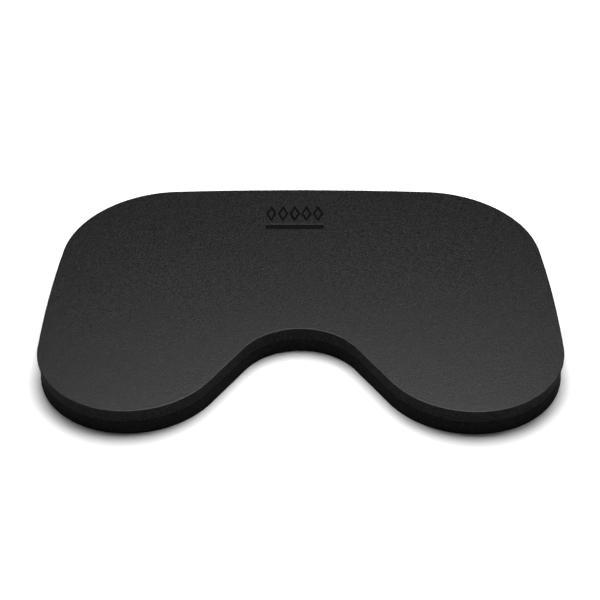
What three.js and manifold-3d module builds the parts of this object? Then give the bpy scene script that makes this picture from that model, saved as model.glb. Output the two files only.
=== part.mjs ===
// Kneeboard for a sliding rowing seat: a two-layer bonded kneeling pad with hook tape underneath.
// Units are millimetres. +X is to the right, +Y to the straight back edge, +Z up out of the kneeling face.
// The origin is at the middle of the outline's box, on the underside.
import * as THREE from "three";
import { mergeVertices } from "three/addons/utils/BufferGeometryUtils.js";
import Module from "manifold-3d";

// ---- Outline, shared by every layer ----
const WIDTH = 440;
const DEPTH = 306;
const LOBE_RADIUS = 80; // the two rounded front lobes
const BACK_CORNER_RADIUS = 102;
const NOTCH_RADIUS = 56;
const NOTCH_DEPTH = 100; // from the front of the lobes to the top of the notch
const SIDE_BOW_RADIUS = 1200; // the sides and the back are very slightly bowed
const BACK_BOW_RADIUS = 2400;
const WIDEST_FROM_FRONT = 121;
const ARC_DIVISIONS = 9;
const SHORTEST_EDGE = 0.05; // closer outline points than this are one point

// ---- Layers, from the underside up ----
const BOARD_THICKNESS = 12.35;
const BOND_THICKNESS = 0.3;
const PAD_THICKNESS = 12.35;
const TOTAL_THICKNESS = BOARD_THICKNESS + BOND_THICKNESS + PAD_THICKNESS;
const WAIST = 1.0; // the cut edge is hollow: this much in at half height
const BOND_INSET = 0.2; // the adhesive film stops this far inside the cut edge
const RINGS_PER_LAYER = 4;

// ---- Debossed emblem on the kneeling face ----
const EMBLEM_CENTRE_X = -6.5;
const EMBLEM_FROM_BACK = 27; // from the back edge to the top of the emblem
const EMBLEM_DEBOSS = 0.8;
const LOZENGE_COUNT = 5;
const LOZENGE_WIDTH = 9.8;
const LOZENGE_HEIGHT = 25;
const LOZENGE_GAP = 1.2;
const LOZENGE_GROOVE = 1.9; // measured along the lozenge's width
const EMBLEM_BAR_GAP = 4.5; // between the lozenges and the bar under them
const EMBLEM_BAR_HEIGHT = 7.5;

// ---- Self-adhesive hook tape, in pockets in the underside ----
const TAPE_LENGTH = 100;
const TAPE_WIDTH = 25;
const TAPE_THICKNESS = 1.7;
const TAPE_CORNER_RADIUS = 3;
const TAPE_ADHESIVE_THICKNESS = 0.3;
const TAPE_ADHESIVE_INSET = 0.5;
const POCKET_DEPTH = 2.2;
const POCKET_CLEARANCE = 1; // all round the tape
const REAR_TAPE = { x: 72, fromBack: 62 };
const FRONT_TAPE = { x: 97, fromBack: 166 };
const CORNER_DIVISIONS = 5;

// ---- Materials ----
const MATERIALS = {
  padFoam: new THREE.MeshStandardMaterial({ color: 0x2b2b2c, roughness: 0.82, metalness: 0 }),
  boardFoam: new THREE.MeshStandardMaterial({ color: 0x151516, roughness: 0.88, metalness: 0 }),
  adhesive: new THREE.MeshStandardMaterial({ color: 0x3a3936, roughness: 0.45, metalness: 0 }),
  hookTape: new THREE.MeshStandardMaterial({ color: 0x0e0e10, roughness: 0.6, metalness: 0 }),
};

const wasm = await Module();
wasm.setup();

// The centres of the outline's circles on the right-hand side, and the angles where they meet.
function outlineCircles() {
  const front = -DEPTH / 2;
  const notch = { x: 0, y: front + NOTCH_DEPTH - NOTCH_RADIUS, r: NOTCH_RADIUS };
  const side = { x: WIDTH / 2 - SIDE_BOW_RADIUS, y: front + WIDEST_FROM_FRONT, r: SIDE_BOW_RADIUS };
  const back = { x: 0, y: DEPTH / 2 - BACK_BOW_RADIUS, r: BACK_BOW_RADIUS };

  // The lobe touches the front line and lies inside the side's circle, tangent to it.
  const lobe = { x: 0, y: front + LOBE_RADIUS, r: LOBE_RADIUS };
  lobe.x = side.x + Math.sqrt((side.r - lobe.r) ** 2 - (lobe.y - side.y) ** 2);

  // The back corner lies inside the side's and the back's circles, tangent to both.
  const toSide = side.r - BACK_CORNER_RADIUS;
  const toBack = back.r - BACK_CORNER_RADIUS;
  const apart = Math.hypot(back.x - side.x, back.y - side.y);
  const along = (toSide ** 2 - toBack ** 2 + apart ** 2) / (2 * apart);
  const across = Math.sqrt(toSide ** 2 - along ** 2);
  const ux = (back.x - side.x) / apart;
  const uy = (back.y - side.y) / apart;
  const corner = {
    x: side.x + along * ux - across * uy,
    y: side.y + along * uy + across * ux,
    r: BACK_CORNER_RADIUS,
  };

  // The straight line between the notch and the lobe touches both circles from opposite sides.
  const reach = Math.hypot(lobe.x - notch.x, lobe.y - notch.y);
  const notchEnd =
    Math.atan2(lobe.y - notch.y, lobe.x - notch.x) + Math.acos((notch.r + lobe.r) / reach);
  return {
    notch,
    lobe,
    side,
    corner,
    back,
    notchEnd,
    sideStart: Math.atan2(lobe.y - side.y, lobe.x - side.x),
    sideEnd: Math.atan2(corner.y - side.y, corner.x - side.x),
    backStart: Math.atan2(corner.y - back.y, corner.x - back.x),
  };
}

// The outline as counter-clockwise points, starting at the left end of the notch.
function outlinePoints() {
  const { notch, lobe, side, corner, back, notchEnd, sideStart, sideEnd, backStart } =
    outlineCircles();
  const half = Math.PI;
  const path = new THREE.Path();
  path.absarc(notch.x, notch.y, notch.r, half - notchEnd, notchEnd, true);
  path.absarc(lobe.x, lobe.y, lobe.r, notchEnd - half, sideStart, false);
  path.absarc(side.x, side.y, side.r, sideStart, sideEnd, false);
  path.absarc(corner.x, corner.y, corner.r, sideEnd, backStart, false);
  path.absarc(back.x, back.y, back.r, backStart, half - backStart, false);
  path.absarc(-corner.x, corner.y, corner.r, half - backStart, half - sideEnd, false);
  path.absarc(-side.x, side.y, side.r, half - sideEnd, half - sideStart, false);
  path.absarc(-lobe.x, lobe.y, lobe.r, half - sideStart, 2 * half - notchEnd, false);
  return withoutRepeats(path.getPoints(ARC_DIVISIONS));
}

function withoutRepeats(points) {
  return points.filter((p, i) => p.distanceTo(points.at(i - 1)) > SHORTEST_EDGE);
}

// The closed counter-clockwise outline moved inwards by a small distance.
function insetOutline(points, inset) {
  return points.map((p, i) => {
    const before = points.at(i - 1);
    const after = points[(i + 1) % points.length];
    const tangent = after.clone().sub(before).normalize();
    return new THREE.Vector2(p.x - tangent.y * inset, p.y + tangent.x * inset);
  });
}

// How far in the hollow cut edge lies at height z: nothing at either face, WAIST half-way up.
function edgeInset(z) {
  const fromMiddle = (2 * z) / TOTAL_THICKNESS - 1;
  return WAIST * (1 - fromMiddle ** 2);
}

// A closed slab between two heights whose edge follows insetAt(z), a ring of points at each level.
function slab(points, bottom, top, ringCount, insetAt) {
  const rings = [];
  for (let k = 0; k < ringCount; k += 1) {
    const z = bottom + ((top - bottom) * k) / (ringCount - 1);
    rings.push(insetOutline(points, insetAt(z)).map((p) => new THREE.Vector3(p.x, p.y, z)));
  }
  const n = points.length;
  const triangles = [];
  for (let k = 0; k + 1 < ringCount; k += 1) {
    for (let i = 0; i < n; i += 1) {
      const j = (i + 1) % n;
      const [a, b, c, d] = [k * n + i, k * n + j, (k + 1) * n + j, (k + 1) * n + i];
      triangles.push(a, b, c, a, c, d);
    }
  }
  const caps = THREE.ShapeUtils.triangulateShape(rings[0], []);
  const last = (ringCount - 1) * n;
  for (const [a, b, c] of caps) {
    triangles.push(a, c, b, last + a, last + b, last + c);
  }
  const geometry = new THREE.BufferGeometry().setFromPoints(rings.flat());
  geometry.setIndex(triangles);
  return geometry;
}

function roundedRectangle(length, width, radius) {
  const x = length / 2 - radius;
  const y = width / 2 - radius;
  const quarter = Math.PI / 2;
  const shape = new THREE.Shape();
  shape.absarc(x, -y, radius, -quarter, 0, false);
  shape.absarc(x, y, radius, 0, quarter, false);
  shape.absarc(-x, y, radius, quarter, 2 * quarter, false);
  shape.absarc(-x, -y, radius, 2 * quarter, 3 * quarter, false);
  shape.closePath();
  return shape;
}

function plate(shape, thickness) {
  return new THREE.ExtrudeGeometry(shape, {
    depth: thickness,
    bevelEnabled: false,
    curveSegments: CORNER_DIVISIONS,
  });
}

// ---- Joining and cutting ----
function toSolid(geometry) {
  const bare = new THREE.BufferGeometry().setAttribute("position", geometry.getAttribute("position"));
  bare.setIndex(geometry.index);
  const merged = mergeVertices(bare, 1e-4);
  return new wasm.Manifold(
    new wasm.Mesh({
      numProp: 3,
      vertProperties: new Float32Array(merged.attributes.position.array),
      triVerts: new Uint32Array(merged.index.array),
    }),
  );
}

function toGeometry(solid) {
  const mesh = solid.getMesh();
  const geometry = new THREE.BufferGeometry();
  geometry.setAttribute("position", new THREE.BufferAttribute(mesh.vertProperties, 3));
  geometry.setIndex(new THREE.BufferAttribute(mesh.triVerts, 1));
  geometry.computeVertexNormals();
  return geometry;
}

function cutFrom(geometry, cutters) {
  return toGeometry(cutters.reduce((solid, cutter) => solid.subtract(toSolid(cutter)), toSolid(geometry)));
}

function addMesh(group, name, geometry, material) {
  const mesh = new THREE.Mesh(geometry, material);
  mesh.name = name;
  group.add(mesh);
  return mesh;
}

// ---- The emblem: a row of outlined lozenges over a plain bar ----
function lozenge(width, height) {
  const corners = [
    [width / 2, 0],
    [0, height / 2],
    [-width / 2, 0],
    [0, -height / 2],
  ];
  return corners.map(([x, y]) => new THREE.Vector2(x, y));
}

function emblemCutters() {
  const top = DEPTH / 2 - EMBLEM_FROM_BACK;
  const pitch = LOZENGE_WIDTH + LOZENGE_GAP;
  const rowWidth = LOZENGE_COUNT * pitch - LOZENGE_GAP;
  const innerScale = 1 - (2 * LOZENGE_GROOVE) / LOZENGE_WIDTH;
  const cutters = [];
  for (let k = 0; k < LOZENGE_COUNT; k += 1) {
    const ring = new THREE.Shape(lozenge(LOZENGE_WIDTH, LOZENGE_HEIGHT));
    const island = lozenge(LOZENGE_WIDTH * innerScale, LOZENGE_HEIGHT * innerScale);
    ring.holes.push(new THREE.Path(island));
    const x = EMBLEM_CENTRE_X + (k - (LOZENGE_COUNT - 1) / 2) * pitch;
    cutters.push(plate(ring, 2 * EMBLEM_DEBOSS).translate(x, top - LOZENGE_HEIGHT / 2, 0));
  }
  const bar = roundedRectangle(rowWidth, EMBLEM_BAR_HEIGHT, EMBLEM_BAR_HEIGHT / 3);
  const barY = top - LOZENGE_HEIGHT - EMBLEM_BAR_GAP - EMBLEM_BAR_HEIGHT / 2;
  cutters.push(plate(bar, 2 * EMBLEM_DEBOSS).translate(EMBLEM_CENTRE_X, barY, 0));
  return cutters.map((cutter) => cutter.translate(0, 0, TOTAL_THICKNESS - EMBLEM_DEBOSS));
}

// ---- The layers ----
function kneePad(outline) {
  const bottom = BOARD_THICKNESS + BOND_THICKNESS;
  return cutFrom(slab(outline, bottom, TOTAL_THICKNESS, RINGS_PER_LAYER, edgeInset), emblemCutters());
}

function bondFilm(outline) {
  const inset = (z) => edgeInset(z) + BOND_INSET;
  return slab(outline, BOARD_THICKNESS, BOARD_THICKNESS + BOND_THICKNESS, 2, inset);
}

function baseBoard(outline) {
  const pocket = roundedRectangle(
    TAPE_LENGTH + 2 * POCKET_CLEARANCE,
    TAPE_WIDTH + 2 * POCKET_CLEARANCE,
    TAPE_CORNER_RADIUS + POCKET_CLEARANCE,
  );
  const cutters = tapePlaces().map(({ x, y }) =>
    plate(pocket, 2 * POCKET_DEPTH).translate(x, y, -POCKET_DEPTH),
  );
  return cutFrom(slab(outline, 0, BOARD_THICKNESS, RINGS_PER_LAYER, edgeInset), cutters);
}

function tapePlaces() {
  const places = [];
  for (const [row, { x, fromBack }] of [
    ["rear", REAR_TAPE],
    ["front", FRONT_TAPE],
  ]) {
    for (const [hand, sign] of [
      ["left", -1],
      ["right", 1],
    ]) {
      places.push({ name: `${row}_${hand}`, x: sign * x, y: DEPTH / 2 - fromBack });
    }
  }
  return places;
}

function addTapes(group) {
  const tape = roundedRectangle(TAPE_LENGTH, TAPE_WIDTH, TAPE_CORNER_RADIUS);
  const adhesive = roundedRectangle(
    TAPE_LENGTH - 2 * TAPE_ADHESIVE_INSET,
    TAPE_WIDTH - 2 * TAPE_ADHESIVE_INSET,
    TAPE_CORNER_RADIUS - TAPE_ADHESIVE_INSET,
  );
  const adhesiveBottom = POCKET_DEPTH - TAPE_ADHESIVE_THICKNESS;
  for (const { name, x, y } of tapePlaces()) {
    addMesh(
      group,
      `tape_adhesive_${name}`,
      plate(adhesive, TAPE_ADHESIVE_THICKNESS),
      MATERIALS.adhesive,
    ).position.set(x, y, adhesiveBottom);
    addMesh(
      group,
      `hook_tape_${name}`,
      plate(tape, TAPE_THICKNESS),
      MATERIALS.hookTape,
    ).position.set(x, y, adhesiveBottom - TAPE_THICKNESS);
  }
}

function kneeboard() {
  const outline = outlinePoints();
  const group = new THREE.Group();
  addMesh(group, "knee_pad", kneePad(outline), MATERIALS.padFoam);
  addMesh(group, "bond_film", bondFilm(outline), MATERIALS.adhesive);
  addMesh(group, "base_board", baseBoard(outline), MATERIALS.boardFoam);
  addTapes(group);
  return group;
}

export default kneeboard();
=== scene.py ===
# The kneeboard's looks: two layers of black foam on a pale floor, with hook tape underneath.
# Lengths are metres. The frame's part lies on z = 0, with its straight back edge towards +Y.
import math

import bmesh
import bpy
import numpy as np
from mathutils import Matrix, Vector, noise
from mathutils.geometry import delaunay_2d_cdt


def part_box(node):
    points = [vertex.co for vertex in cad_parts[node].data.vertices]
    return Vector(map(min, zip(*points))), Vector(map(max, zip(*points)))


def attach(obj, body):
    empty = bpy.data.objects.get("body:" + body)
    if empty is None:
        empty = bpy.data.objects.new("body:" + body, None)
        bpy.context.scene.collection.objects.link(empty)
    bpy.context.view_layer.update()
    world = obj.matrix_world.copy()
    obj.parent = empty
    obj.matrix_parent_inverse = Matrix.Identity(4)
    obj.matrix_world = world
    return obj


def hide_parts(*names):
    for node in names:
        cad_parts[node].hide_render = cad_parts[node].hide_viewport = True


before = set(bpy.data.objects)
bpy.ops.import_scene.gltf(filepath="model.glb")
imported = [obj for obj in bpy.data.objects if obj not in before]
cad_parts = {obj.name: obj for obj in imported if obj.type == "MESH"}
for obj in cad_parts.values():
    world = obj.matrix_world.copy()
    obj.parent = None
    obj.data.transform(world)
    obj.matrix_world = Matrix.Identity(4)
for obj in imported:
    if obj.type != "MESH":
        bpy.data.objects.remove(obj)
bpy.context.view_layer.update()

MM = 0.001
PAD_LOW, PAD_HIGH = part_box("knee_pad")
BOARD_LOW, BOARD_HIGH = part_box("base_board")
TOP = PAD_HIGH.z
HALF_WIDTH = PAD_HIGH.x
FRONT = PAD_LOW.y
BACK = PAD_HIGH.y

# ---- Outline ----
LOBE_RADIUS = 80 * MM
BACK_CORNER_RADIUS = 102 * MM
NOTCH_RADIUS = 56 * MM
NOTCH_DEPTH = 100 * MM
SIDE_BOW_RADIUS = 1.2
BACK_BOW_RADIUS = 2.4
WIDEST_FROM_FRONT = 121 * MM
CURVE_STEP = 0.3 * MM  # between the points of a curve, before it is stepped evenly
OUTLINE_STEP = 1.1 * MM

# ---- Cut edge ----
WAIST = 1.0 * MM  # the cut edge is hollow: this much in at half height
WALL_STEP = 1.1 * MM
TOP_ROUNDING = 0.8 * MM
SEAM_ROUNDING = 0.2 * MM
FOOT_ROUNDING = 0.35 * MM
SMALL_ROUNDING = 0.5 * MM  # a rounding up to this radius has 3 rows of points, a larger one 5
ROLL_OFF = [(2.0 * MM, 0.05 * MM), (4.5 * MM, 0.0)]  # (in from the edge, below the face)
FOOT_INSET = 3 * MM  # the underside's cap starts this far in, clear of the knife's marks
SKIN_OVERLAP = 2  # bands of the top rounding that the pad's skin wraps over

# Marks of the knife: (depth, length along the edge, length up it).
WAVES = (0.12 * MM, 21 * MM, 13 * MM)
CHATTER = (0.05 * MM, 2.4 * MM, 12 * MM)
NIBS = (0.3 * MM, 2.2 * MM, 2.5 * MM)
TORN_REACH = 70 * MM  # how far either side of the back edge's middle the nibs stand out
NIBS_IN_FRONT = 0.15  # their share of the full depth along the front half

# ---- Emblem ----
EMBLEM_CENTRE_X = -6.5 * MM
EMBLEM_FROM_BACK = 27 * MM
EMBLEM_DEBOSS = 0.8 * MM
LOZENGE_COUNT = 5
LOZENGE_WIDTH = 9.8 * MM
LOZENGE_HEIGHT = 25 * MM
LOZENGE_GAP = 1.2 * MM
LOZENGE_GROOVE = 1.9 * MM
BAR_GAP = 4.5 * MM
BAR_HEIGHT = 7.5 * MM
BAR_CORNER_RADIUS = BAR_HEIGHT / 3
EMBLEM_STEP = 0.8 * MM
# How the face goes down over an emblem's edge: (out from the edge, share of the full depth).
PRESSED_EDGE = [
    (0.48 * MM, 0.0),
    (0.3 * MM, 0.0),
    (0.12 * MM, 0.12),
    (-0.05 * MM, 0.5),
    (-0.22 * MM, 0.88),
    (-0.38 * MM, 1.0),
    (-0.54 * MM, 1.0),
]

# ---- Hook tape ----
TAPES = [name for name in sorted(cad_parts) if name.startswith("hook_tape_")]
TAPE_CORNER_RADIUS = 3 * MM
POCKET_CLEARANCE = 1 * MM
POCKET_STEP = 2 * MM
# A pocket's wall, from the underside to its floor: (out from the wall, share of the full depth).
ROUTED_EDGE = [
    (0.3 * MM, 0.0),
    (0.08 * MM, 0.05),
    (0.0, 0.2),
    (-0.05 * MM, 0.85),
    (-0.3 * MM, 1.0),
]
RIBBON_THICKNESS = 0.6 * MM
# Round the ribbon's edge, from each flat face to its side: (in from the side, from the face).
RIBBON_EDGE = [(0.6 * MM, 0.0), (0.054 * MM, 0.054 * MM), (0.0, 0.18 * MM)]
RIBBON_STEP = 1 * MM
SELVEDGE = 1.6 * MM
HOOK_PITCH = (2.0 * MM, 1.6 * MM)
HOOK_SIZE = 1.1 * MM
HOOK_ROUTE = [(0, 0), (0.02, -0.45), (0.1, -0.78), (0.3, -0.98), (0.52, -0.9), (0.6, -0.66)]
HOOK_WIRE = 0.11 * MM
HOOK_TAPER = (1.25, 0.1)  # the wire's share of its size at the root, and its loss at each bend
HOOK_SIDES = 5
HOOK_SUNK = 0.05 * MM  # how deep a hook's root lies in the ribbon
HOOK_TURN = 0.16  # spread of the hooks' directions, in radians
HOOK_SHIFT = 0.07 * MM  # spread of their places
HOOK_SEED = 11
ROW_SLACK = 0.1 * MM  # so that the last row of hooks is not lost to rounding

# ---- Meshes ----
FACE_GRID = 4 * MM
GRID_CLEARANCE = 0.4  # share of a grid's step kept free round fixed points
CHUNK = 500  # grid points compared with the fixed points at one time
INSIDE_ONLY = 1  # delaunay_2d_cdt's mode that keeps the triangles inside the outer loop
SAME_POINT = 1e-9
WELD_DISTANCE = 0.002 * MM
CREASE = math.radians(40)

# ---- Material slots ----
SKIN, CUT, STAMPED = 0, 1, 2
RIBBON, HOOKS = 0, 1

# ---- Patterns ----
NOISE_RANGE = (0.3, 0.7)  # where nearly all of a noise pattern's values lie
MIX_COLOURS = (6, 7)  # a Mix node's two colour sockets, after those for numbers and vectors

# ---- Stage ----
ROOM_LIGHT = 0.09
WHITE = (1, 1, 1, 1)
FLOOR_REACH = 6.0
FLOOR_DROP = 0.05 * MM  # the floor lies this far below the board, so that no faces coincide
GLOW_REACH = (0.35, 1.4)  # the floor's painted glow starts and is full this far from the board's middle
CAMERA_PLACE = (0.0075, FRONT - 0.7426, TOP + 0.7264)
CAMERA_DOWN = math.radians(39.506)
CAMERA_LEFT = math.radians(0.535)
CAMERA_ROLL = math.radians(-0.239)
LENS = 78.9
SENSOR_WIDTH = 36


# ---- Curves in plan ----
def arc(centre, radius, start, end, outward=1):
    """Points and outward normals along a circle, from one angle to another."""
    steps = max(2, math.ceil(abs(end - start) * radius / CURVE_STEP))
    angles = np.linspace(start, end, steps)
    rays = np.stack([np.cos(angles), np.sin(angles)], 1)
    return np.array(centre) + radius * rays, outward * rays


def straight(start, end, normal):
    """Points and outward normals along a line, without its two ends."""
    steps = max(2, math.ceil(math.dist(start, end) / CURVE_STEP))
    share = np.linspace(0, 1, steps)[1:-1, None]
    return start + (end - start) * share, np.repeat([normal], steps - 2, 0)


def heading(start, end):
    """The angle of the line from one point to another."""
    return math.atan2(end[1] - start[1], end[0] - start[0])


def back_corner_centre(side, back):
    """The back corner's circle touches both the side's and the back's from inside."""
    to_side = SIDE_BOW_RADIUS - BACK_CORNER_RADIUS
    to_back = BACK_BOW_RADIUS - BACK_CORNER_RADIUS
    apart = math.dist(side, back)
    along = (to_side**2 - to_back**2 + apart**2) / (2 * apart)
    across = math.sqrt(to_side**2 - along**2)
    unit = (back - side) / apart
    return side + along * unit + across * np.array([-unit[1], unit[0]])


def circle_centres():
    """Centres of the notch, lobe, side, back corner and back circles, on the right."""
    notch = np.array([0, FRONT + NOTCH_DEPTH - NOTCH_RADIUS])
    side = np.array([HALF_WIDTH - SIDE_BOW_RADIUS, FRONT + WIDEST_FROM_FRONT])
    back = np.array([0, BACK - BACK_BOW_RADIUS])
    lobe_y = FRONT + LOBE_RADIUS
    lobe_reach = math.sqrt((SIDE_BOW_RADIUS - LOBE_RADIUS) ** 2 - (lobe_y - side[1]) ** 2)
    lobe = np.array([side[0] + lobe_reach, lobe_y])
    return notch, lobe, side, back_corner_centre(side, back), back


def right_half():
    """The right half of the outline, from the top of the notch to the middle of the back."""
    notch, lobe, side, corner, back = circle_centres()
    turn = math.acos((NOTCH_RADIUS + LOBE_RADIUS) / math.dist(notch, lobe))
    notch_end = heading(notch, lobe) + turn
    side_start, side_end = heading(side, lobe), heading(side, corner)
    back_start = heading(back, corner)
    quarter = math.pi / 2
    in_notch = arc(notch, NOTCH_RADIUS, quarter, notch_end, -1)
    round_lobe = arc(lobe, LOBE_RADIUS, notch_end - math.pi, side_start)
    parts = [
        in_notch,
        straight(in_notch[0][-1], round_lobe[0][0], in_notch[1][-1]),
        round_lobe,
        arc(side, SIDE_BOW_RADIUS, side_start, side_end),
        arc(corner, BACK_CORNER_RADIUS, side_end, back_start),
        arc(back, BACK_BOW_RADIUS, back_start, quarter),
    ]
    return joined(parts)


def joined(parts):
    """Pieces of a curve as one: all their points, and all their normals."""
    return np.concatenate([p for p, _ in parts]), np.concatenate([n for _, n in parts])


def evenly(points, normals, step):
    """The same closed curve with its points a step apart."""
    looped = np.concatenate([points, points[:1]])
    run = np.concatenate([[0], np.cumsum(np.linalg.norm(np.diff(looped, axis=0), axis=1))])
    turned = np.concatenate([normals, normals[:1]])
    at = np.linspace(0, run[-1], round(run[-1] / step), endpoint=False)
    even = np.stack([np.interp(at, run, looped[:, k]) for k in (0, 1)], 1)
    facing = np.stack([np.interp(at, run, turned[:, k]) for k in (0, 1)], 1)
    return even, facing / np.linalg.norm(facing, axis=1)[:, None]


def board_outline():
    """The whole outline: the right half and its mirror image."""
    points, normals = right_half()
    mirror = np.array([-1, 1])
    points = np.concatenate([points, (points * mirror)[-2:0:-1]])
    normals = np.concatenate([normals, (normals * mirror)[-2:0:-1]])
    return evenly(points, normals, OUTLINE_STEP)


def rounded_rectangle(centre, length, width, radius, step):
    """Points and outward normals round a rectangle with round corners."""
    x, y = length / 2 - radius, width / 2 - radius
    quarter = math.pi / 2
    parts = []
    for k, corner in enumerate([(x, -y), (x, y), (-x, y), (-x, -y)]):
        parts.append(arc(np.array(corner) + centre, radius, (k - 1) * quarter, k * quarter))
    return evenly(*joined(parts), step)


def lozenge(centre, scale):
    """One of the emblem's lozenges as a closed loop, larger or smaller by a scale."""
    width, height = LOZENGE_WIDTH * scale, LOZENGE_HEIGHT * scale
    corners = np.array([[width, 0], [0, height], [-width, 0], [0, -height]]) / 2 + centre
    sides = []
    for start, end in zip(corners, np.roll(corners, -1, 0)):
        steps = math.ceil(math.dist(start, end) / EMBLEM_STEP)
        share = np.linspace(0, 1, steps, endpoint=False)[:, None]
        sides.append(start + (end - start) * share)
    return np.concatenate(sides)


def within(points, loop):
    """Which points lie inside a closed loop."""
    inside = np.zeros(len(points), bool)
    for (x0, y0), (x1, y1) in zip(loop, np.roll(loop, -1, 0)):
        if y0 == y1:
            continue
        crosses = (points[:, 1] < y0) != (points[:, 1] < y1)
        x = x0 + (points[:, 1] - y0) * (x1 - x0) / (y1 - y0)
        inside ^= crosses & (points[:, 0] < x)
    return inside


def at_height(points, z):
    """A plan curve lifted to one height."""
    return np.column_stack([points, np.full(len(points), z)])


# ---- Building meshes ----
class Surface:
    """Collects bands, caps and whole shapes, then welds them into a mesh of closed shells."""

    def __init__(self):
        self.points = []
        self.faces = []
        self.slots = []
        self.count = 0

    def add(self, points, faces, slots):
        self.points.append(np.asarray(points, float))
        self.faces.extend([[corner + self.count for corner in face] for face in faces])
        self.slots.extend(slots)
        self.count += len(points)

    def loft(self, rings, slots):
        """A band of four-sided faces between each ring and the next, and each band's slot."""
        n = len(rings[0])
        faces = []
        for k in range(len(rings) - 1):
            for i in range(n):
                j = (i + 1) % n
                faces.append([k * n + i, k * n + j, (k + 1) * n + j, (k + 1) * n + i])
        self.add(np.concatenate(rings), faces, np.repeat(slots, n))

    def cap(self, ring, grid_step=None, levels=(), height=lambda points: 0.0, slot_of=lambda points: 0):
        """Closes a ring with triangles that follow the levels: closed loops and their heights.

        With a grid step, loose points fill the space between the loops, each as far above the
        ring as height gives. slot_of gives each triangle's slot from its middle.
        """
        loops = [np.asarray(ring)] + [at_height(loop, z) for loop, z in levels]
        edges = []
        first = 0
        for loop in loops:
            edges += [(first + i, first + (i + 1) % len(loop)) for i in range(len(loop))]
            first += len(loop)
        given = np.concatenate(loops)
        if grid_step:
            loose = grid_between(given, ring, grid_step)
            heights = np.broadcast_to(ring[0][2] + height(loose), len(loose))
            given = np.concatenate([given, np.column_stack([loose, heights])])
        flat = [Vector(p[:2]) for p in given]
        corners, _, triangles, origins, _, _ = delaunay_2d_cdt(flat, edges, [], INSIDE_ONLY, SAME_POINT)
        points = [given[o[0]] if o else (*c, ring[0][2]) for c, o in zip(corners, origins)]
        middles = np.array([np.mean([points[i][:2] for i in face], 0) for face in triangles])
        self.add(points, triangles, np.broadcast_to(slot_of(middles), len(triangles)))

    def build(self, name, materials):
        mesh = bpy.data.meshes.new(name)
        mesh.from_pydata(np.concatenate(self.points), [], self.faces)
        for material in materials:
            mesh.materials.append(material)
        mesh.polygons.foreach_set("material_index", np.array(self.slots, np.int32))
        weld(mesh)
        mesh.polygons.foreach_set("use_smooth", np.ones(len(mesh.polygons), bool))
        mesh.set_sharp_from_angle(angle=CREASE)
        return placed(name, mesh)


def placed(name, data):
    """A new object in the scene."""
    thing = bpy.data.objects.new(name, data)
    bpy.context.scene.collection.objects.link(thing)
    return thing


def weld(mesh):
    """Joins points that coincide, and turns every face outwards."""
    edit = bmesh.new()
    edit.from_mesh(mesh)
    bmesh.ops.remove_doubles(edit, verts=edit.verts, dist=WELD_DISTANCE)
    bmesh.ops.recalc_face_normals(edit, faces=edit.faces)
    edit.to_mesh(mesh)
    edit.free()


def grid_between(held, ring, step):
    """A loose triangular grid inside a ring, clear of the points already there."""
    low, high = np.min(ring, 0), np.max(ring, 0)
    rows = np.arange(low[1], high[1], step * math.sqrt(3) / 2)
    columns = np.arange(low[0], high[0], step)
    grid = np.array([(x + step / 2 * (k % 2), y) for k, y in enumerate(rows) for x in columns])
    grid = grid[within(grid, np.asarray(ring)[:, :2])]
    clear = np.ones(len(grid), bool)
    for k in range(0, len(grid), CHUNK):
        gaps = grid[k : k + CHUNK, None, :] - held[None, :, :2]
        clear[k : k + CHUNK] = (gaps**2).sum(2).min(1) > (step * GRID_CLEARANCE) ** 2
    return grid[clear]


# ---- Foam layers ----
def waist_at(z):
    """How far in the hollow cut edge lies at a height."""
    from_middle = 2 * z / TOP - 1
    return WAIST * (1 - from_middle**2)


def knife_marks(points, z):
    """How far the cut edge wanders: long waves, short chatter, and nibs, deepest mid-back."""

    def mark(kind, x, y):
        depth, along, up = kind
        return depth * noise.noise((x / along, y / along, z / up))

    marks = []
    for x, y in points:
        torn = math.exp(-((x / TORN_REACH) ** 2)) if y > 0 else NIBS_IN_FRONT
        marks.append(mark(WAVES, x, y) + mark(CHATTER, x, y) + torn * mark(NIBS, x, y))
    return np.array(marks)


def edge_ring(outline, inset, z, marked=True):
    """The outline at a height, moved in, with or without the knife's marks."""
    points, normals = outline
    wander = knife_marks(points, z) if marked else np.zeros(len(points))
    return at_height(points - normals * (inset - wander)[:, None], z)


def rounding(radius, z, up):
    """Insets and heights up a quarter circle that ends a wall (up = 1) or starts it (up = -1)."""
    turns = np.linspace(0, math.pi / 2, 5 if radius > SMALL_ROUNDING else 3)
    steps = [(radius * (1 - math.cos(a)), z + up * radius * (math.sin(a) - 1)) for a in turns]
    return steps if up > 0 else steps[::-1]


def layer_profile(low, high, low_rounding, high_rounding):
    """(inset, height) up a layer's cut edge, with both its edges slightly rounded."""
    bottom, top = low + low_rounding, high - high_rounding
    levels = np.linspace(bottom, top, max(2, round((top - bottom) / WALL_STEP)))
    profile = rounding(low_rounding, low, -1)[:-1]
    profile += [(0.0, z) for z in levels]
    profile += rounding(high_rounding, high, 1)[1:]
    return [(inset + waist_at(z), z) for inset, z in profile]


def lozenge_centres():
    """The middles of the emblem's row of lozenges."""
    pitch = LOZENGE_WIDTH + LOZENGE_GAP
    y = BACK - EMBLEM_FROM_BACK - LOZENGE_HEIGHT / 2
    places = [k - (LOZENGE_COUNT - 1) / 2 for k in range(LOZENGE_COUNT)]
    return [np.array([EMBLEM_CENTRE_X + place * pitch, y]) for place in places]


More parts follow.
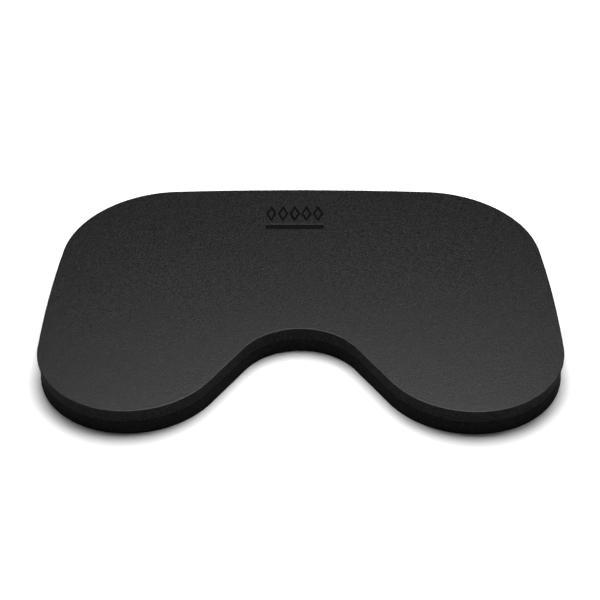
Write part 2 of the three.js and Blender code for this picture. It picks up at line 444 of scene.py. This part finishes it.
def lozenge_levels(centre, island):
    """Loops down both edges of one lozenge's groove, which goes round an island."""
    inradius = LOZENGE_WIDTH * LOZENGE_HEIGHT / 2 / math.hypot(LOZENGE_WIDTH, LOZENGE_HEIGHT)
    levels = []
    for out, share in PRESSED_EDGE:
        height = TOP - share * EMBLEM_DEBOSS
        levels.append((lozenge(centre, 1 + out / inradius), height))
        levels.append((lozenge(centre, island - out / inradius), height))
    return levels


def bar_loop(out):
    """The bar under the lozenges, grown by a width all round."""
    row = LOZENGE_COUNT * (LOZENGE_WIDTH + LOZENGE_GAP) - LOZENGE_GAP
    below = EMBLEM_FROM_BACK + LOZENGE_HEIGHT + BAR_GAP + BAR_HEIGHT / 2
    centre = np.array([EMBLEM_CENTRE_X, BACK - below])
    grown = np.array([row, BAR_HEIGHT, BAR_CORNER_RADIUS]) + np.array([2, 2, 1]) * out
    return rounded_rectangle(centre, *grown, EMBLEM_STEP)[0]


def emblem_levels():
    """Closed loops round every edge of the emblem, with their heights, and a test for its floor."""
    island = 1 - 2 * LOZENGE_GROOVE / LOZENGE_WIDTH
    levels = []
    for centre in lozenge_centres():
        levels += lozenge_levels(centre, island)
    levels += [(bar_loop(out), TOP - share * EMBLEM_DEBOSS) for out, share in PRESSED_EDGE]
    floors = [lozenge(centre, 1) for centre in lozenge_centres()] + [bar_loop(0)]
    islands = [lozenge(centre, island) for centre in lozenge_centres()]

    def pressed(points):
        inside = np.any([within(points, loop) for loop in floors], 0)
        return inside & ~np.any([within(points, loop) for loop in islands], 0)

    return levels, pressed


def knee_pad(outline, materials):
    """The upper layer: skin on top, a knife-cut edge, and the emblem pressed into the face."""
    profile = layer_profile(PAD_LOW.z, TOP, SEAM_ROUNDING, TOP_ROUNDING)
    rings = [edge_ring(outline, inset, z) for inset, z in profile]
    rings += [edge_ring(outline, inset, TOP - drop, marked=False) for inset, drop in ROLL_OFF]
    skin_bands = SKIN_OVERLAP + len(ROLL_OFF)
    levels, pressed = emblem_levels()
    surface = Surface()
    surface.loft(rings, [CUT] * (len(rings) - 1 - skin_bands) + [SKIN] * skin_bands)
    surface.cap(rings[0], slot_of=lambda points: CUT)
    surface.cap(
        rings[-1],
        FACE_GRID,
        levels,
        height=lambda points: -EMBLEM_DEBOSS * pressed(points),
        slot_of=lambda points: np.where(pressed(points), STAMPED, SKIN),
    )
    piece = surface.build("knee_pad_foam", materials)
    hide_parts("knee_pad")
    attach(piece, "root")


def pocket_loop(name, out):
    """The outline of the pocket round one hook tape, grown by a width all round."""
    low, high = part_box(name)
    centre = np.array([(low.x + high.x) / 2, (low.y + high.y) / 2])
    grown = np.array([high.x - low.x, high.y - low.y, TAPE_CORNER_RADIUS])
    grown += np.array([2, 2, 1]) * (POCKET_CLEARANCE + out)
    return rounded_rectangle(centre, *grown, POCKET_STEP)[0]


def pocket_levels():
    """Loops up the walls of the tape pockets in the underside, and their floors with depths."""
    levels, floors = [], []
    for name in TAPES:
        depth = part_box(name.replace("hook_tape", "tape_adhesive"))[1].z
        levels += [(pocket_loop(name, out), share * depth) for out, share in ROUTED_EDGE]
        floors.append((pocket_loop(name, 0), depth))
    return levels, floors


def base_board(outline, materials):
    """The lower layer, with the same cut edge and the tape pockets in its underside."""
    profile = layer_profile(BOARD_LOW.z, BOARD_HIGH.z, FOOT_ROUNDING, SEAM_ROUNDING)
    foot = edge_ring(outline, FOOT_INSET, BOARD_LOW.z, marked=False)
    rings = [foot] + [edge_ring(outline, inset, z) for inset, z in profile]
    levels, floors = pocket_levels()

    def height(points):
        return sum(depth * within(points, loop) for loop, depth in floors)

    surface = Surface()
    surface.loft(rings, [SKIN, SKIN] + [CUT] * (len(rings) - 3))
    surface.cap(rings[-1], slot_of=lambda points: CUT)
    surface.cap(foot, 2 * FACE_GRID, levels, height)
    piece = surface.build("base_board_foam", materials)
    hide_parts("base_board")
    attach(piece, "root")


# ---- Hook tape ----
def hook_shape():
    """One hook, hanging from z = 0: a bent wire as rings of points and the faces between them."""
    route = np.array(HOOK_ROUTE) * HOOK_SIZE
    ahead = np.gradient(route, axis=0)
    ahead /= np.linalg.norm(ahead, axis=1)[:, None]
    turns = np.arange(HOOK_SIDES) * 2 * math.pi / HOOK_SIDES
    at_root, loss = HOOK_TAPER
    points, faces = [], []
    for k, ((x, z), (dx, dz)) in enumerate(zip(route, ahead)):
        wire = HOOK_WIRE * (at_root - loss * k)
        across, aside = wire * np.cos(turns), wire * np.sin(turns)
        points.append(np.column_stack([x - dz * across, aside, z + dx * across]))
    for k in range(len(route) - 1):
        for i in range(HOOK_SIDES):
            j = (i + 1) % HOOK_SIDES
            low, high = k * HOOK_SIDES, (k + 1) * HOOK_SIDES
            faces.append([low + i, high + i, high + j, low + j])
    faces.append(list(range(HOOK_SIDES)))
    faces.append([len(route) * HOOK_SIDES - 1 - i for i in range(HOOK_SIDES)])
    return np.concatenate(points), faces


def hook_field(surface, length, width, ribbon_face):
    """Rows of hooks, every other one turned round, each a little out of line."""
    wire, faces = hook_shape()
    heights = wire[:, 2] + ribbon_face + HOOK_SUNK
    chance = np.random.default_rng(HOOK_SEED)
    columns = np.arange(-length / 2 + SELVEDGE, length / 2 - SELVEDGE, HOOK_PITCH[0])
    rows = np.arange(-width / 2 + SELVEDGE, width / 2 - SELVEDGE + ROW_SLACK, HOOK_PITCH[1])
    for r, y in enumerate(rows):
        for c, x in enumerate(columns):
            turn = math.pi * ((r + c) % 2) + chance.normal(0, HOOK_TURN)
            spin = np.array([[math.cos(turn), -math.sin(turn)], [math.sin(turn), math.cos(turn)]])
            shift = np.array([x, y]) + chance.normal(0, HOOK_SHIFT, 2)
            plan = wire[:, :2] @ spin.T + shift
            surface.add(np.column_stack([plan, heights]), faces, [HOOKS] * len(faces))


def ribbon(surface, length, width, low, high):
    """The tape's woven backing, a flat ribbon with soft edges."""
    size = (length, width, TAPE_CORNER_RADIUS)
    points, normals = rounded_rectangle(np.zeros(2), *size, RIBBON_STEP)
    levels = [(inset, low + rise) for inset, rise in RIBBON_EDGE]
    levels += [(inset, high - fall) for inset, fall in reversed(RIBBON_EDGE)]
    rings = [at_height(points - normals * inset, z) for inset, z in levels]
    surface.loft(rings, [RIBBON] * (len(rings) - 1))
    surface.cap(rings[0])
    surface.cap(rings[-1])


def hook_tapes(materials):
    """Four tapes alike, hooks down, each with its back against its adhesive."""
    low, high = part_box(TAPES[0])
    length, width = high.x - low.x, high.y - low.y
    surface = Surface()
    ribbon(surface, length, width, -RIBBON_THICKNESS, 0)
    hook_field(surface, length, width, -RIBBON_THICKNESS)
    first = surface.build(TAPES[0] + "_hooks", materials)
    for name in TAPES:
        low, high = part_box(name)
        piece = first if name == TAPES[0] else placed(name + "_hooks", first.data)
        piece.location = ((low.x + high.x) / 2, (low.y + high.y) / 2, high.z)
        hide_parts(name)
        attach(piece, "root")


# ---- Materials ----
class Finish:
    """One material, and the few pattern nodes that all of them share."""

    def __init__(self, name, roughness, specular):
        self.material = bpy.data.materials.new(name)
        self.material.use_nodes = True
        self.tree = self.material.node_tree
        self.shader = self.tree.nodes["Principled BSDF"]
        self.shader.inputs["Roughness"].default_value = roughness
        self.shader.inputs["Specular IOR Level"].default_value = specular
        self.place = self.node("ShaderNodeTexCoord").outputs["Object"]

    def node(self, kind, links=(), **values):
        made = self.tree.nodes.new(kind)
        for key, value in values.items():
            made.inputs[key].default_value = value
        for key, socket in dict(links).items():
            self.tree.links.new(socket, made.inputs[key])
        return made

    def noise(self, size, detail, place=None):
        links = {"Vector": place or self.place}
        return self.node("ShaderNodeTexNoise", links, Scale=1 / size, Detail=detail).outputs["Fac"]

    def cells(self, size):
        links = {"Vector": self.place}
        return self.node("ShaderNodeTexVoronoi", links, Scale=1 / size).outputs["Distance"]

    def stretched(self, x, y, z):
        mapping = self.node("ShaderNodeMapping", {"Vector": self.place}, Scale=(x, y, z))
        return mapping.outputs["Vector"]

    def span(self, value, low, high, to_low=0.0, to_high=1.0):
        """A value from one range to another; outside the range it stays at the ends."""
        made = self.node("ShaderNodeMapRange", {"Value": value})
        limits = {"From Min": low, "From Max": high, "To Min": to_low, "To Max": to_high}
        for key, number in limits.items():
            made.inputs[key].default_value = number
        return made.outputs["Result"]

    def mixed(self, factor, dark, light):
        """A colour between two, which may be colours or sockets, as factor goes from 0 to 1."""
        made = self.tree.nodes.new("ShaderNodeMix")
        made.data_type = "RGBA"
        self.tree.links.new(factor, made.inputs["Factor"])
        for place, value in zip(MIX_COLOURS, (dark, light)):
            socket = made.inputs[place]
            if isinstance(value, tuple):
                socket.default_value = (*value, 1)
            else:
                self.tree.links.new(value, socket)
        return made.outputs[2]

    def colour(self, socket):
        self.tree.links.new(socket, self.shader.inputs["Base Color"])

    def rough(self, socket):
        self.tree.links.new(socket, self.shader.inputs["Roughness"])

    def bumps(self, heights):
        """Adds heights one over the other: (socket, depth in metres, strength)."""
        normal = None
        for socket, depth, strength in heights:
            links = {"Height": socket}
            if normal:
                links["Normal"] = normal
            made = self.node("ShaderNodeBump", links, Distance=depth, Strength=strength)
            normal = made.outputs["Normal"]
        self.tree.links.new(normal, self.shader.inputs["Normal"])


def grey(level, warmth=0.0):
    return (level * (1 + warmth), level, level * (1 - warmth))


def foam_skin(name, level, cell, roughness):
    """Closed-cell sheet foam: a skin of tiny cells, slightly clouded, with painted shade in its pores
    and fine pale dots that are painted glints.
    """
    made = Finish(name, roughness, 0.18)
    grain = made.noise(cell, 4.0)
    pores = made.cells(cell * 0.6)
    mottle = made.noise(cell * 1.2, 2.0)
    clouds = made.noise(60 * MM, 2.0)
    tone = made.mixed(made.span(mottle, 0.32, 0.68), grey(level * 0.35), grey(level * 1.65))
    tone = made.mixed(made.span(clouds, 0.35, 0.65, 0.0, 0.35), tone, grey(level * 1.25))
    # Painted shade: the pores' hollows are darkened in the colour.
    tone = made.mixed(made.span(pores, 0.0, 0.25, 0.6, 0.0), tone, grey(level * 0.3))
    # Painted glints: pale dots in the colour stand in for light caught by the skin's cells.
    glint_specks = made.span(made.noise(1.5 * MM, 0.0), 0.64, 0.78, 0.0, 0.8)
    made.colour(made.mixed(glint_specks, tone, grey(level * 5)))
    made.rough(made.span(mottle, *NOISE_RANGE, roughness - 0.07, roughness + 0.07))
    fine = [(mottle, 0.2 * MM, 0.9), (pores, 0.12 * MM, 0.6), (grain, 0.12 * MM, 0.7)]
    made.bumps([(clouds, 0.4 * MM, 0.3)] + fine)
    return made.material


def cut_foam(name, level):
    """A knife-cut edge: opened cells darkened with painted shade, torn here and there, with faint
    upright strokes.
    """
    made = Finish(name, 0.9, 0.03)
    strokes = made.noise(1.6 * MM, 3.0, made.stretched(1, 1, 0.2))
    torn = made.noise(1.3 * MM, 4.0)
    pores = made.cells(0.9 * MM)
    tone = made.mixed(made.span(strokes, *NOISE_RANGE), grey(level * 0.75), grey(level * 1.2))
    tone = made.mixed(made.span(torn, 0.48, 0.66), tone, grey(level * 2.4))
    # Painted shade: the opened cells are darkened in the colour.
    made.colour(made.mixed(made.span(pores, 0.0, 0.4, 1.0, 0.0), tone, grey(level * 0.15)))
    made.bumps([(strokes, 0.12 * MM, 0.4), (torn, 0.25 * MM, 0.6), (pores, 0.3 * MM, 0.8)])
    return made.material


def stamped_foam(name, level):
    """Where the stamp crushed the skin: darker and duller than the face around it."""
    made = Finish(name, 0.6, 0.03)
    grain = made.noise(1.4 * MM, 3.0)
    made.colour(made.mixed(made.span(grain, *NOISE_RANGE), grey(level * 0.7), grey(level * 1.3)))
    made.rough(made.span(grain, *NOISE_RANGE, 0.5, 0.7))
    made.bumps([(grain, 0.08 * MM, 0.4)])
    return made.material


def dried_adhesive(name, level):
    """Glue, streaked from light to dark, very slightly brown."""
    made = Finish(name, 0.6, 0.1)
    streaks = made.noise(3 * MM, 3.0)
    dark, light = grey(level * 0.6, 0.06), grey(level * 1.4, 0.08)
    made.colour(made.mixed(made.span(streaks, *NOISE_RANGE), dark, light))
    made.rough(made.span(streaks, *NOISE_RANGE, 0.45, 0.75))
    made.bumps([(streaks, 0.1 * MM, 0.3)])
    return made.material


def woven_ribbon():
    """The tape's backing: fine crossed threads."""
    made = Finish("woven_ribbon", 0.7, 0.3)
    warp = made.noise(0.5 * MM, 1.0, made.stretched(1, 0.25, 1))
    weft = made.noise(0.5 * MM, 1.0, made.stretched(0.25, 1, 1))
    weave = made.node("ShaderNodeMath", {0: warp, 1: weft}).outputs["Value"]
    made.colour(made.mixed(made.span(weave, 0.7, 1.3), grey(0.006), grey(0.022)))
    made.bumps([(weave, 0.12 * MM, 0.6)])
    return made.material


def hook_nylon():
    """The hooks: black nylon, glossier in places."""
    made = Finish("hook_nylon", 0.35, 0.5)
    shade = made.noise(2 * MM, 2.0)
    made.colour(made.mixed(made.span(shade, *NOISE_RANGE), grey(0.01), grey(0.03)))
    made.rough(made.span(shade, *NOISE_RANGE, 0.28, 0.5))
    return made.material


def floor_with_painted_glow():
    """A matte white table with painted light: it glows more and more away from the board, standing in
    for a lit sweep.
    """
    made = Finish("floor_with_painted_glow", 0.8, 0.1)
    made.colour(made.mixed(made.span(made.noise(0.4, 2.0), *NOISE_RANGE), grey(0.89), grey(0.91)))
    away = made.node("ShaderNodeVectorMath", {0: made.place})
    away.operation = "LENGTH"
    glow = made.span(away.outputs["Value"], *GLOW_REACH)
    # Painted light: the floor's own emission, growing away from the board.
    made.shader.inputs["Emission Color"].default_value = WHITE
    made.tree.links.new(glow, made.shader.inputs["Emission Strength"])
    return made.material


def refinish(node, material):
    """A carried-over CAD node keeps its shape and gets a detailed material."""
    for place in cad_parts[node].material_slots:
        place.material = material


# ---- Stage ----
def floor():
    mesh = bpy.data.meshes.new("floor")
    corners = np.array([[-1, -1], [1, -1], [1, 1], [-1, 1]]) * FLOOR_REACH
    mesh.from_pydata(at_height(corners, -FLOOR_DROP), [], [(0, 1, 2, 3)])
    mesh.materials.append(floor_with_painted_glow())
    placed("floor", mesh)


def softbox(name, place, size, power):
    """A flat lamp that faces the board, with its long side level."""
    lamp = bpy.data.lights.new(name, "AREA")
    lamp.shape = "RECTANGLE"
    lamp.size, lamp.size_y = size
    lamp.energy = power
    holder = placed(name, lamp)
    holder.location = place
    away = Vector(place).normalized()
    holder.rotation_euler = (-math.asin(away.y), math.atan2(away.x, away.z), 0)
    return holder


def lights():
    """A large softbox, overhead and a little behind, in a dim room with a white backdrop."""
    softbox("overhead", place=(0.05, 0.42, 1.4), size=(1.2, 1.0), power=39)
    # A card in front is there for its reflection alone: it shows the skin's sheen from behind.
    card = softbox("front_card", place=(0, -0.7, 1.3), size=(1.9, 0.6), power=28)
    card.visible_diffuse = False
    room()
    bpy.context.scene.view_settings.view_transform = "Standard"


def room():
    """The world: white where the camera sees it, and dim where it lights the board."""
    world = bpy.data.worlds.new("studio")
    world.use_nodes = True
    tree = world.node_tree
    dim = tree.nodes["Background"]
    dim.inputs["Color"].default_value = WHITE
    dim.inputs["Strength"].default_value = ROOM_LIGHT
    backdrop = tree.nodes.new("ShaderNodeBackground")
    backdrop.inputs["Color"].default_value = WHITE
    seen = tree.nodes.new("ShaderNodeLightPath")
    either = tree.nodes.new("ShaderNodeMixShader")
    tree.links.new(seen.outputs["Is Camera Ray"], either.inputs["Fac"])
    tree.links.new(dim.outputs["Background"], either.inputs[1])
    tree.links.new(backdrop.outputs["Background"], either.inputs[2])
    tree.links.new(either.outputs["Shader"], tree.nodes["World Output"].inputs["Surface"])
    bpy.context.scene.world = world


def camera():
    """The camera stands in front of the notch, a little right of it, and looks down at the board."""
    lens = bpy.data.cameras.new("camera")
    lens.lens, lens.sensor_width = LENS, SENSOR_WIDTH
    holder = placed("camera", lens)
    turn = Matrix.Rotation(CAMERA_LEFT, 4, "Z")
    tilt = Matrix.Rotation(math.pi / 2 - CAMERA_DOWN, 4, "X")
    roll = Matrix.Rotation(CAMERA_ROLL, 4, "Z")
    holder.matrix_world = Matrix.Translation(CAMERA_PLACE) @ (turn @ tilt @ roll)
    bpy.context.scene.camera = holder


camera()
lights()
floor()

OUTLINE = board_outline()
PAD_FINISHES = [
    foam_skin("pad_skin", 0.0034, 1.2 * MM, 0.35),
    cut_foam("pad_cut_edge", 0.0115),
    stamped_foam("pad_stamped", 0.002),
]
BOARD_FINISHES = [
    foam_skin("board_skin", 0.012, 1.6 * MM, 0.8),
    cut_foam("board_cut_edge", 0.007),
]
knee_pad(OUTLINE, PAD_FINISHES)
base_board(OUTLINE, BOARD_FINISHES)
hook_tapes([woven_ribbon(), hook_nylon()])
refinish("bond_film", dried_adhesive("foam_glue", 0.006))
TAPE_ADHESIVE = dried_adhesive("tape_adhesive", 0.03)
for tape in TAPES:
    refinish(tape.replace("hook_tape", "tape_adhesive"), TAPE_ADHESIVE)
